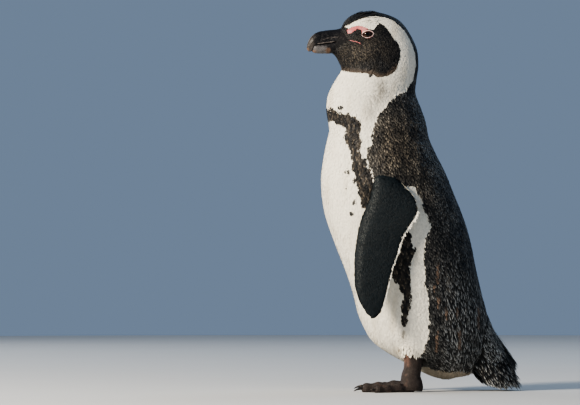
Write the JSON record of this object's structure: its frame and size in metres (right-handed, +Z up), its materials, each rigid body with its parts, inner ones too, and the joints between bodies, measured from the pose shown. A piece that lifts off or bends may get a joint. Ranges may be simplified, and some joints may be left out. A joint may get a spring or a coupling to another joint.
{
  "type": "african penguin model",
  "caption": "Life-size standing penguin with a black back, white belly, dark chest band, stout hooked bill, hanging flippers, short stiff tail and webbed clawed feet.",
  "frame": {"origin": "on the floor under the middle of the bounding box, in the bird's plane of symmetry", "axes": "+Z up; the bird faces -Y; its left side is +X"},
  "size_m": [0.2026, 0.3078, 0.543],
  "materials": {
    "plumage_black": "matte",
    "plumage_white": "matte",
    "bill": "satin",
    "foot_skin": "matte",
    "claw": "satin",
    "eye": "glossy"
  },
  "bodies": {
    "root": {"head": "plumage_black", "neck": "plumage_white", "trunk": "plumage_white", "tail": "plumage_black", "bill_upper": "bill", "bill_lower": "bill", "eye_left": "eye", "flipper_left": "plumage_black", "leg_left": "foot_skin", "foot_left": "foot_skin", "claw_inner_left": "claw", "claw_middle_left": "claw", "claw_outer_left": "claw", "claw_hallux_left": "claw", "eye_right": "eye", "flipper_right": "plumage_black", "leg_right": "foot_skin", "foot_right": "foot_skin", "claw_inner_right": "claw", "claw_middle_right": "claw", "claw_outer_right": "claw", "claw_hallux_right": "claw"}
  },
  "joints": []
}
